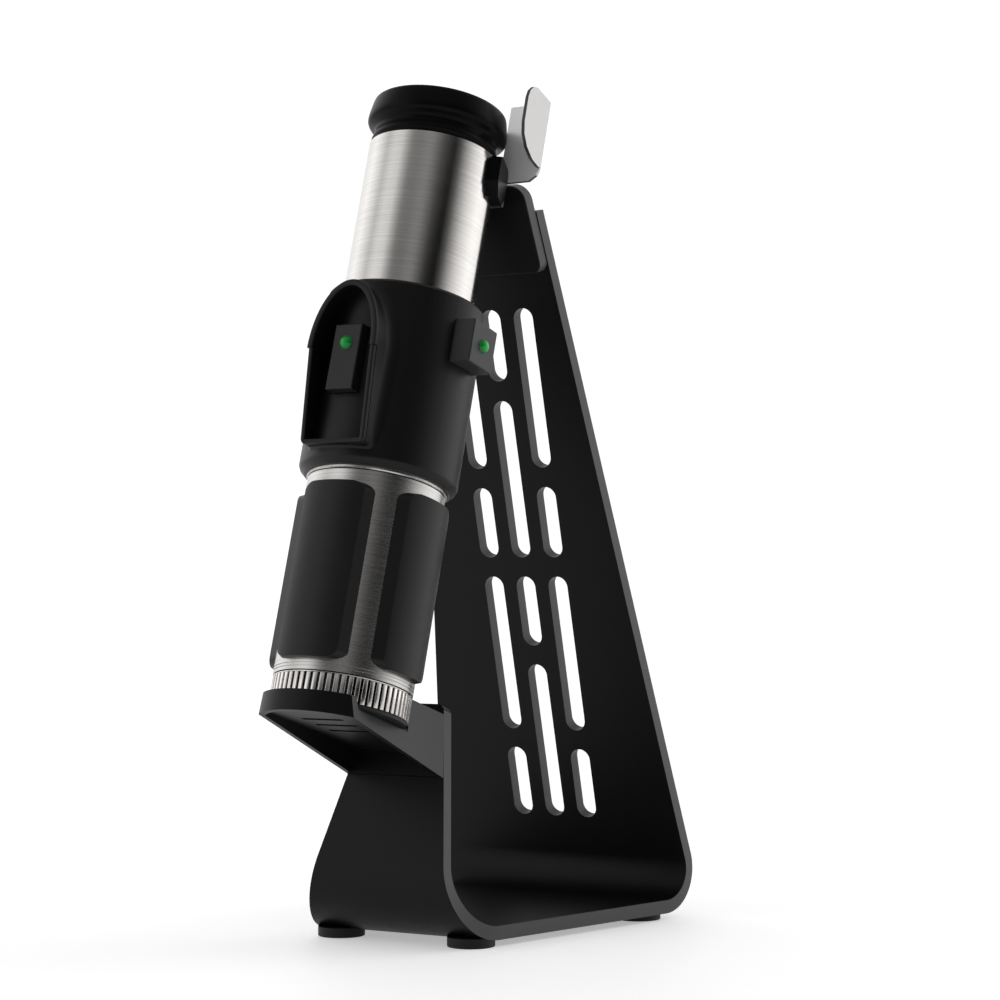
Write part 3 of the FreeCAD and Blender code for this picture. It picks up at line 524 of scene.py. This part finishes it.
def tidy_faces(piece: bpy.types.Object, join: float = 0.000005) -> None:
    """Merge doubles and point every face outwards."""
    choose(piece)
    bpy.ops.object.mode_set(mode="EDIT")
    bpy.ops.mesh.select_all(action="SELECT")
    bpy.ops.mesh.remove_doubles(threshold=join)
    bpy.ops.mesh.normals_make_consistent(inside=False)
    bpy.ops.object.mode_set(mode="OBJECT")


def soften(piece: bpy.types.Object, width: float, segments: int = 2, angle: float = 30.0) -> None:
    """Round the sharp edges with a bevel and smooth the rest.

    Args:
        piece: object to finish.
        width: bevel width in metres.
        segments: cuts across the bevel.
        angle: edges sharper than this are rounded, in degrees.
    """
    choose(piece)
    bevel = piece.modifiers.new("edge", "BEVEL")
    bevel.width = width
    bevel.segments = segments
    bevel.limit_method = "ANGLE"
    bevel.angle_limit = math.radians(angle)
    bevel.miter_outer = "MITER_ARC"
    bpy.ops.object.modifier_apply(modifier=bevel.name)
    bpy.ops.object.shade_smooth_by_angle(angle=math.radians(max(angle, 40.0)))
    level = piece.modifiers.new("level", "WEIGHTED_NORMAL")
    level.mode = "FACE_AREA"
    level.weight = 90
    level.keep_sharp = True
    bpy.ops.object.modifier_apply(modifier=level.name)


def place_in_mesh(piece: bpy.types.Object, matrix: Matrix | None = None) -> None:
    """Move a finished piece to its place and put the place in its mesh."""
    choose(piece)
    if matrix is not None:
        piece.matrix_world = matrix @ piece.matrix_world
    bpy.ops.object.transform_apply(location=True, rotation=True, scale=True)


def lathe(name: str, rings: Rings, cuts: int = 128, closed: bool = True) -> bpy.types.Object:
    """Turn a profile: a circle is extruded and resized ring by ring.

    Args:
        name: the piece's name.
        rings: radius and height pairs in millimetres, in order.
        cuts: sides round the circle.
        closed: join the last ring to the first.

    Returns:
        The object, in the opener's frame.
    """
    deselect()
    radius, height = rings[0]
    bpy.ops.mesh.primitive_circle_add(vertices=cuts, radius=radius * MM, location=(0, 0, height * MM))
    piece = bpy.context.object
    piece.name = name
    bpy.ops.object.transform_apply(location=True)
    bpy.ops.object.mode_set(mode="EDIT")
    bpy.ops.mesh.select_all(action="SELECT")
    chain = list(rings[1:]) + ([rings[0]] if closed else [])
    for next_radius, next_height in chain:
        rise = (next_height - height) * MM
        bpy.ops.mesh.extrude_region_move(TRANSFORM_OT_translate={"value": (0.0, 0.0, rise)})
        ratio = next_radius / radius
        bpy.ops.transform.resize(value=(ratio, ratio, 1.0), center_override=(0.0, 0.0, next_height * MM))
        radius, height = next_radius, next_height
    bpy.ops.object.mode_set(mode="OBJECT")
    tidy_faces(piece)
    return piece


def copy_node(node: str, name: str, dissolve: float = 1.0) -> bpy.types.Object:
    """Copy a fixed piece's mesh, merged and with its flat faces whole.

    Args:
        node: name of the fixed piece.
        name: the copy's name.
        dissolve: faces that meet flatter than this are joined, in degrees.

    Returns:
        The copy.
    """
    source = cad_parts[node]
    copy = source.copy()
    copy.data = source.data.copy()
    copy.name = name
    copy.parent = None
    copy.matrix_world = source.matrix_world.copy()
    bpy.context.collection.objects.link(copy)
    choose(copy)
    bpy.ops.object.mode_set(mode="EDIT")
    bpy.ops.mesh.select_all(action="SELECT")
    bpy.ops.mesh.customdata_custom_splitnormals_clear()
    bpy.ops.mesh.remove_doubles(threshold=0.000004)
    bpy.ops.mesh.dissolve_limited(angle_limit=math.radians(dissolve))
    bpy.ops.object.mode_set(mode="OBJECT")
    return copy


def mark_painted_light(piece: bpy.types.Object, shade: Callable[[Any], float]) -> None:
    """Mark how far each face's painted light and shade departs from the rest of the sheet.

    Args:
        piece: the object.
        shade: level of a mesh polygon, from 0 to 1.
    """
    layer = piece.data.attributes.new(PAINTED_LIGHT_ATTRIBUTE, "FLOAT", "FACE")
    for polygon in piece.data.polygons:
        layer.data[polygon.index].value = shade(polygon)


def paint(piece: bpy.types.Object, material: bpy.types.Material) -> None:
    """Give a whole piece one finish."""
    piece.data.materials.clear()
    piece.data.materials.append(material)


def dress_node(node: str, material: bpy.types.Material) -> None:
    """Give a fixed piece one finish through its material slots."""
    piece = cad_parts[node]
    for slot in piece.material_slots:
        slot.material = material


def settle(piece: bpy.types.Object, body: str, nodes: Iterable[str],
           material: bpy.types.Material) -> None:
    """Dress a new piece, hang it on its body, hide the fixed pieces that it replaces and log what it stands for.

    Args:
        piece: finished object.
        body: moving body that it rides on.
        nodes: fixed pieces that it replaces.
        material: its finish.
    """
    paint(piece, material)
    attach(piece, body)
    names = list(nodes)
    if names:
        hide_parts(*names)
    log.info("%s rides on %s and stands for %s", piece.name, body, ", ".join(names) or "itself")


# ------------------------------------------------------------------------- stand


@dataclass
class Stand:
    """Bent plate, rest block, cradle and feet."""

    edge: float = 0.45 * MM
    lean: float = math.radians(13.6)
    coat: bpy.types.Material = field(default_factory=lambda: PowderCoat(specular=0.15).build("stand_coat"))

    def painted_edge_light_and_shade(self, polygon: Any) -> float:
        """Painted highlight of a face: 1 on the plate's sides, its back plate's top and the walls of its slots, which
        are painted paler as if lit from the side.
        """
        if abs(polygon.normal.x) > 0.9:
            return 1.0
        normal = polygon.normal
        square = abs(normal.y * math.cos(self.lean) + normal.z * math.sin(self.lean)) < 0.15
        return 1.0 if square and polygon.center.y > 0.0 and polygon.center.z > 0.036 else 0.0

    def cradle_side(self, polygon: Any) -> float:
        """Painted highlight of one of the cradle's faces: the outsides of its walls are painted a little paler, as if
        lit.
        """
        outward = polygon.normal.x if polygon.center.x > 0.0 else -polygon.normal.x
        return 0.7 if outward > 0.85 else 0.0

    def build(self) -> None:
        """Make and dress every piece of the stand."""
        for node, width in (("stand_frame", self.edge), ("rest_plate", self.edge), ("cradle", 0.25 * MM)):
            piece = copy_node(node, node + "_finished")
            soften(piece, width)
            mark_painted_light(piece, self.cradle_side if node == "cradle" else self.painted_edge_light_and_shade)
            settle(piece, "stand", [node], self.coat)
        rubber = Moulding((0.006, 0.006, 0.006), (0.011, 0.011, 0.011), 0.62).build("foot_rubber")
        for node in ("foot_front_left", "foot_front_right", "foot_rear_left", "foot_rear_right", "cradle_liner"):
            dress_node(node, rubber)
        zinc = PlainMetal((0.10, 0.10, 0.10), (0.2, 0.2, 0.2), 0.4).build("black_zinc")
        for node in ("rest_plate_screws", "cradle_screws", "foot_screws"):
            dress_node(node, zinc)


# ------------------------------------------------------------------------ barrel


@dataclass
class Barrel:
    """Steel tube, mouth flange and the clip beside it."""

    tongue_from: float = 34.4 * MM
    flange: Rings = (
        (24.0, 215.0), (24.0, 222.3), (23.7, 222.3), (23.7, 223.6), (24.5, 224.3), (24.55, 224.7),
        (24.1, 226.0), (23.65, 227.2), (23.45, 228.3), (23.6, 229.2), (24.3, 230.05), (25.9, 230.7),
        (26.75, 231.35), (27.1, 232.1), (27.15, 233.0), (27.0, 234.6), (26.5, 237.4), (26.1, 239.4),
        (25.85, 240.2), (25.35, 240.65), (24.6, 240.8), (17.6, 240.8), (17.0, 240.55), (16.4, 240.0),
        (16.0, 239.3), (16.0, 215.0),
    )

    def clip_shade(self, polygon: Any) -> float:
        """Painted light and shade of one of the clip's faces: 0 on its leaf, painted lighter than the tongue as
        painted light; 0.5 on its tongue; 1 on the edges of either, painted dark as painted shade.
        """
        normal = AXIS.matrix.to_3x3().inverted() @ polygon.normal
        if polygon.center.x > self.tongue_from:
            return 0.5 if abs(normal.x) > 0.55 else 1.0
        return 0.0 if abs(normal.y) > 0.55 else 1.0

    def build(self) -> None:
        """Make and dress the barrel's pieces."""
        steel = TurnedSteel().build("turned_steel")
        dress_node("steel_barrel", steel)
        black = PowderCoat(roughness=0.30, specular=0.06).build("flange_black")
        flange = lathe("flange_finished", self.flange, 160)
        choose(flange)
        bpy.ops.object.shade_smooth_by_angle(angle=math.radians(50))
        place_in_mesh(flange, AXIS.matrix)
        settle(flange, "opener", ["mouth_flange"], black)
        block = copy_node("clip_mount", "clip_block_finished")
        soften(block, 0.5 * MM, 3)
        settle(block, "opener", ["clip_mount"], black)
        sheet = SheetSteel().build("clip_steel")
        clip = copy_node("hook_clip", "clip_finished")
        soften(clip, 0.25 * MM, 2)
        mark_painted_light(clip, self.clip_shade)
        settle(clip, "opener", ["hook_clip"], sheet)
        dress_node("clip_screws", PlainMetal((0.3, 0.3, 0.3), (0.4, 0.4, 0.4), 0.35).build("clip_screw_steel"))
        rubber = Moulding((0.02, 0.02, 0.02), (0.03, 0.03, 0.03), 0.6).build("seal_rubber")
        dress_node("mouth_seal", rubber)


# ------------------------------------------------------------------------ collar


@dataclass
class Hood:
    """Arched shroud that grows out of the collar round the front button, in millimetres."""

    collar: float = 30.0
    bottom: float = 94.6
    shoulder: float = 130.7
    top: float = 156.4
    half_low: float = 14.1
    half_high: float = 14.7
    rim_high: float = 37.2
    rim_low: float = 32.6
    wall: float = 1.9
    lip: float = 0.6
    corner: float = 2.0
    flare: float = 3.4
    flare_low: float = 1.3

    def outline(self) -> list[tuple[float, float, float, float, float]]:
        """Closed outline of the hood, seen from the front.

        Returns:
            Places with outward directions and the lip's step: x, z, nx, nz, lip.
        """
        points: list[tuple[float, float, float, float, float]] = []
        rise = self.top - self.shoulder
        for i in range(41):
            turn = math.pi * i / 40
            x, z = self.half_high * math.cos(turn), rise * math.sin(turn)
            normal = Vector((x / self.half_high ** 2, z / rise ** 2)).normalized()
            points.append((x, self.shoulder + z, normal.x, normal.y, self.lip))
        slope = (self.half_high - self.half_low) / (self.shoulder - self.bottom)
        left: list[tuple[float, float, float, float, float]] = []
        for i in range(13):
            z = self.shoulder - 0.02 - (self.shoulder - self.bottom - self.corner) * i / 12
            left.append((-(self.half_high - slope * (self.shoulder - z)), z, -1.0, 0.0, 0.0))
        for i in range(1, 7):
            turn = math.radians(15 * i)
            left.append((-(self.half_low - self.corner) - self.corner * math.cos(turn),
                         self.bottom + self.corner - self.corner * math.sin(turn),
                         -math.cos(turn), -math.sin(turn), 0.0))
        points += left
        for i in range(1, 8):
            x = -(self.half_low - self.corner) * (1 - i / 4)
            points.append((x, self.bottom, 0.0, -1.0, 0.0))
        points += [(-x, z, -nx, nz, lip) for x, z, nx, nz, lip in reversed(left)]
        return points

    def rim(self, z: float) -> float:
        """Distance of the rim from the opener's axis at a height."""
        if z >= self.shoulder:
            return self.rim_high
        share = (self.shoulder - z) / (self.shoulder - self.bottom)
        return self.rim_high - 0.5 - (self.rim_high - 0.5 - self.rim_low) * share

    def surface(self, x: float) -> float:
        """Distance of the collar's surface in front of the axis plane."""
        return math.sqrt(max(self.collar ** 2 - x * x, 1.0))

    def section(self, x: float, z: float, nx: float, nz: float, lip: float) -> list[tuple[float, float]]:
        """Wall section at one place: outward offset and distance in front of the axis plane."""
        low = min(max((z - self.bottom) / 8.0, 0.0), 1.0)
        radius = self.flare_low + (self.flare - self.flare_low) * low
        section: list[tuple[float, float]] = []
        for i in range(8):
            turn = math.radians(90.0 * i / 7)
            offset = radius * (1 - math.sin(turn))
            height = radius * (1 - math.cos(turn)) - (0.15 if i == 0 else 0.0)
            section.append((offset, self.surface(x + offset * nx) + height))
        rim = self.rim(z)
        section += [(0.0, rim - 2.0), (-0.22, rim - 1.9), (-0.22, rim - 1.7), (lip, rim - 1.6)]
        section += [(lip, rim - 0.45), (lip - 0.14, rim - 0.13), (lip - 0.45, rim)]
        section += [(0.45 - self.wall, rim), (0.14 - self.wall, rim - 0.13), (-self.wall, rim - 0.45)]
        section += [(-self.wall, (rim + self.surface(x)) / 2), (-self.wall, self.surface(x) - 0.4)]
        return section

    def build(self, name: str) -> bpy.types.Object:
        """Join the sections round the outline into one closed wall.

        Args:
            name: the piece's name.

        Returns:
            The object, in the opener's frame.
        """
        mesh = bpy.data.meshes.new(name)
        shell = bmesh.new()
        loops = []
        for x, z, nx, nz, lip in self.outline():
            loop = []
            for offset, depth in self.section(x, z, nx, nz, lip):
                place = Vector((x + nx * offset, -depth, z + nz * offset)) * MM
                loop.append(shell.verts.new(place))
            loops.append(loop)
        for i, loop in enumerate(loops):
            after = loops[(i + 1) % len(loops)]
            for j in range(len(loop)):
                k = (j + 1) % len(loop)
                shell.faces.new((loop[j], after[j], after[k], loop[k]))
        bmesh.ops.recalc_face_normals(shell, faces=shell.faces)
        shell.to_mesh(mesh)
        shell.free()
        piece = bpy.data.objects.new(name, mesh)
        bpy.context.collection.objects.link(piece)
        choose(piece)
        bpy.ops.object.shade_smooth_by_angle(angle=math.radians(38))
        return piece


@dataclass
class Collar:
    """Black collar with the hooded front button and the side button."""

    def build(self) -> None:
        """Make and dress the collar's pieces."""
        black = PowderCoat(roughness=0.40).build("collar_black")
        collar = copy_node("collar_housing", "collar_finished")
        soften(collar, 0.3 * MM, 2)
        settle(collar, "opener", ["collar_housing"], black)
        hood = Hood().build("hood_finished")
        place_in_mesh(hood, AXIS.matrix)
        settle(hood, "opener", ["button_hood"], black)
        greys = {
            "front_button": Moulding((0.010, 0.010, 0.0105), (0.014, 0.014, 0.0145), 0.4),
            "side_button": Moulding((0.022, 0.022, 0.023), (0.028, 0.028, 0.029), 0.4),
        }
        for node, grey in greys.items():
            slab = copy_node(node, node + "_finished")
            soften(slab, 0.4 * MM, 3)
            settle(slab, node + "_body", [node], grey.build(node + "_grey"))
        for node in ("front_button_lens", "side_button_lens"):
            low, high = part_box(node)
            centre = (Vector(low) + Vector(high)) / 2
            dress_node(node, SignalLens(centre).build(node + "_green"))


# -------------------------------------------------------------------------- grip


@dataclass
class RibbedRing:
    """Polished ring with flat upright ribs, in millimetres."""

    ribs: int = 60
    core: Rings = (
        (24.0, 1.2), (24.7, 1.2), (25.0, 1.5), (25.0, 10.4), (25.55, 10.75), (25.6, 11.0), (25.4, 11.2), (24.0, 11.2),
    )
    outer: float = 25.8
    depth: float = 1.1
    width: float = 1.75
    low: float = 1.25
    high: float = 10.65
    edge: float = 0.22

    def build(self, name: str) -> bpy.types.Object:
        """Turn the core, shape one rib and copy it round.

        Args:
            name: the piece's name.

        Returns:
            The object, in the opener's frame.
        """
        core = lathe(name, self.core, 180)
        middle = (self.outer - self.depth / 2) * MM
        deselect()
        bpy.ops.mesh.primitive_cube_add(size=1.0, location=(0.0, -middle, (self.low + self.high) / 2 * MM))
        rib = bpy.context.object
        rib.scale = (self.width * MM, self.depth * MM, (self.high - self.low) * MM)
        bpy.ops.object.transform_apply(location=True, rotation=True, scale=True)
        bpy.ops.object.mode_set(mode="EDIT")
        front = -self.outer * MM + 0.0001
        select_edges(rib, lambda edge: all(vert.co.y < front for vert in edge.verts))
        bpy.ops.mesh.bevel(offset=self.edge * MM, segments=2, affect="EDGES")
        bpy.ops.object.mode_set(mode="OBJECT")
        ribs = [rib]
        for i in range(1, self.ribs):
            copy = rib.copy()
            copy.data = rib.data.copy()
            copy.data.transform(Matrix.Rotation(2 * math.pi * i / self.ribs, 4, "Z"))
            bpy.context.collection.objects.link(copy)
            ribs.append(copy)
        deselect()
        for one in ribs:
            one.select_set(True)
        core.select_set(True)
        bpy.context.view_layer.objects.active = core
        bpy.ops.object.join()
        bpy.ops.object.shade_smooth_by_angle(angle=math.radians(35))
        return core


@dataclass
class Grip:
    """Steel sleeve with four rubber pads, the ribbed ring and the upper band."""

    ring_core: float = 25.05 * MM

    def build(self) -> None:
        """Make and dress the grip's pieces."""
        steel = TurnedSteel((0.36, 0.35, 0.34), (0.60, 0.585, 0.57), 0.27, 0.00001).build("grip_steel")
        for node in ("grip_sleeve", "upper_band"):
            dress_node(node, steel)
        rubber = Moulding((0.004, 0.004, 0.0042), (0.007, 0.007, 0.0072), 0.42, specular=0.22).build("pad_rubber")
        for side in Side:
            node = "grip_pad_" + side.name.lower()
            pad = copy_node(node, node + "_finished")
            soften(pad, 0.45 * MM, 3, 25)
            settle(pad, "opener", [node], rubber)
        bright = TurnedSteel((0.54, 0.52, 0.50), (0.68, 0.66, 0.64), 0.2, painted_shade_radius=self.ring_core).build("ring_steel")
        ring = RibbedRing().build("ribbed_ring_finished")
        place_in_mesh(ring, AXIS.matrix)
        settle(ring, "end_cap", ["knurled_ring"], bright)
        dress_node("end_plug", Moulding((0.012, 0.012, 0.012), (0.018, 0.018, 0.018), 0.5).build("plug_plastic"))


# ------------------------------------------------------------------- hidden works


@dataclass
class Works:
    """Motor, gears, cells and boards inside the opener."""

    def build(self) -> None:
        """Dress the hidden pieces."""
        plastic = Moulding((0.05, 0.05, 0.05), (0.07, 0.07, 0.07), 0.55).build("inner_plastic")
        for node in ("bottle_guide", "inner_frame", "charge_socket", "motor_end_bell", "front_switch", "side_switch"):
            dress_node(node, plastic)
        plated = PlainMetal((0.42, 0.42, 0.42), (0.55, 0.55, 0.55), 0.32).build("plated_steel")
        for node in ("motor_can", "motor_rotor", "gearbox_plate", "bearing_plate", "spindle", "gearbox_screws"):
            dress_node(node, plated)
        sintered = PlainMetal((0.3, 0.29, 0.28), (0.42, 0.41, 0.4), 0.45).build("sintered_steel")
        for node in ("sun_pinion", "ring_gear", "planet_carrier", "planet_gear_1", "planet_gear_2", "planet_gear_3"):
            dress_node(node, sintered)
        dress_node("worm", PlainMetal((0.62, 0.61, 0.6), (0.74, 0.73, 0.72), 0.18).build("worm_steel"))
        brass = PlainMetal((0.6, 0.44, 0.16), (0.75, 0.58, 0.26), 0.3).build("brass")
        for node in ("battery_contacts", "spindle_bearing"):
            dress_node(node, brass)
        wrap = Moulding((0.03, 0.09, 0.2), (0.04, 0.12, 0.26), 0.3).build("cell_wrap")
        for node in ("battery_cell_left", "battery_cell_right"):
            dress_node(node, wrap)
        mask = Moulding((0.01, 0.08, 0.03), (0.015, 0.12, 0.045), 0.3).build("board_mask")
        for node in ("circuit_board", "side_board"):
            dress_node(node, mask)


# ------------------------------------------------------------------------ studio


@dataclass
class Studio:
    """Floor, soft lights and camera."""

    lens: float = 100.602
    place: tuple[float, float, float] = (0.593814, -0.900594, 0.146885)
    turn: tuple[float, float, float] = (91.0504, 0.2409, 32.1439)
    # brightness of the studio's walls by direction, in degrees from the front towards the right
    walls: Sequence[tuple[float, float]] = (
        (-180.0, 0.96), (-158.0, 1.05), (-125.0, 1.15), (-95.0, 1.65), (-76.0, 1.25), (-62.0, 0.88),
        (-44.0, 1.40), (-28.0, 1.35), (-17.0, 0.68), (-6.0, 0.16), (4.0, 0.08), (14.0, 0.10),
        (26.0, 0.21), (36.0, 0.24), (47.0, 0.10), (58.0, 0.0), (80.0, 0.0), (91.0, 0.13),
        (103.0, 0.55), (115.0, 1.05), (128.0, 1.45), (145.0, 1.85), (166.0, 1.60), (180.0, 0.96),
    )
    overhead: float = 0.55

    def light_walls(self) -> None:
        """Light the room from its walls, each direction as bright as the studio's panels there."""
        graph = Graph("studio", world=True)
        where = graph.add("ShaderNodeTexCoord", {}, {}, "Generated")
        part = [graph.add("ShaderNodeSeparateXYZ", {}, {"Vector": where}, axis) for axis in "XYZ"]
        angle = part[0]._with("ARCTAN2", part[0], 0.0 - part[1])
        turn = angle * (0.5 / math.pi) + 0.5
        level = graph.ramp(turn, [((degrees + 180.0) / 360.0, value / 3.0) for degrees, value in self.walls])
        high = graph.ramp(part[2], [(0.45, 0.0), (0.85, 1.0)])
        mixed = level * 3.0 * (1.0 - high) + high * self.overhead
        shader = graph.add("ShaderNodeBackground", {}, {"Color": (1.0, 1.0, 1.0, 1.0), "Strength": mixed})
        graph.add_output(shader, "ShaderNodeOutputWorld")
        bpy.context.scene.world = graph.material

    def build(self) -> None:
        """Set up the floor, world, lights and camera."""
        deselect()
        bpy.ops.mesh.primitive_plane_add(size=12.0, location=(0.0, 0.0, 0.0))
        floor = bpy.context.object
        floor.name = "floor"
        graph = Graph("floor_pale")
        paint(floor, graph.finish({
            "Base Color": (0.9, 0.9, 0.9, 1.0),
            "Roughness": 0.6,
            "Emission Color": (0.40, 0.40, 0.40, 1.0),
            "Emission Strength": 1.0,
        }))
        self.light_walls()
        data = bpy.data.cameras.new("camera")
        data.lens = self.lens
        data.sensor_width = 36.0
        data.clip_start = 0.05
        camera = bpy.data.objects.new("camera", data)
        bpy.context.collection.objects.link(camera)
        camera.location = self.place
        camera.rotation_euler = Euler([math.radians(angle) for angle in self.turn], "XYZ")
        bpy.context.scene.camera = camera
        bpy.context.scene.view_settings.view_transform = "Standard"


def main() -> None:
    """Build the object's looks in order."""
    logging.basicConfig(level=logging.INFO, format="%(name)s: %(message)s")
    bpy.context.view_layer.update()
    for part in (Stand(), Barrel(), Collar(), Grip(), Works(), Studio()):
        part.build()
        log.info("%s done", type(part).__name__)


if __name__ == "__main__":
    main()
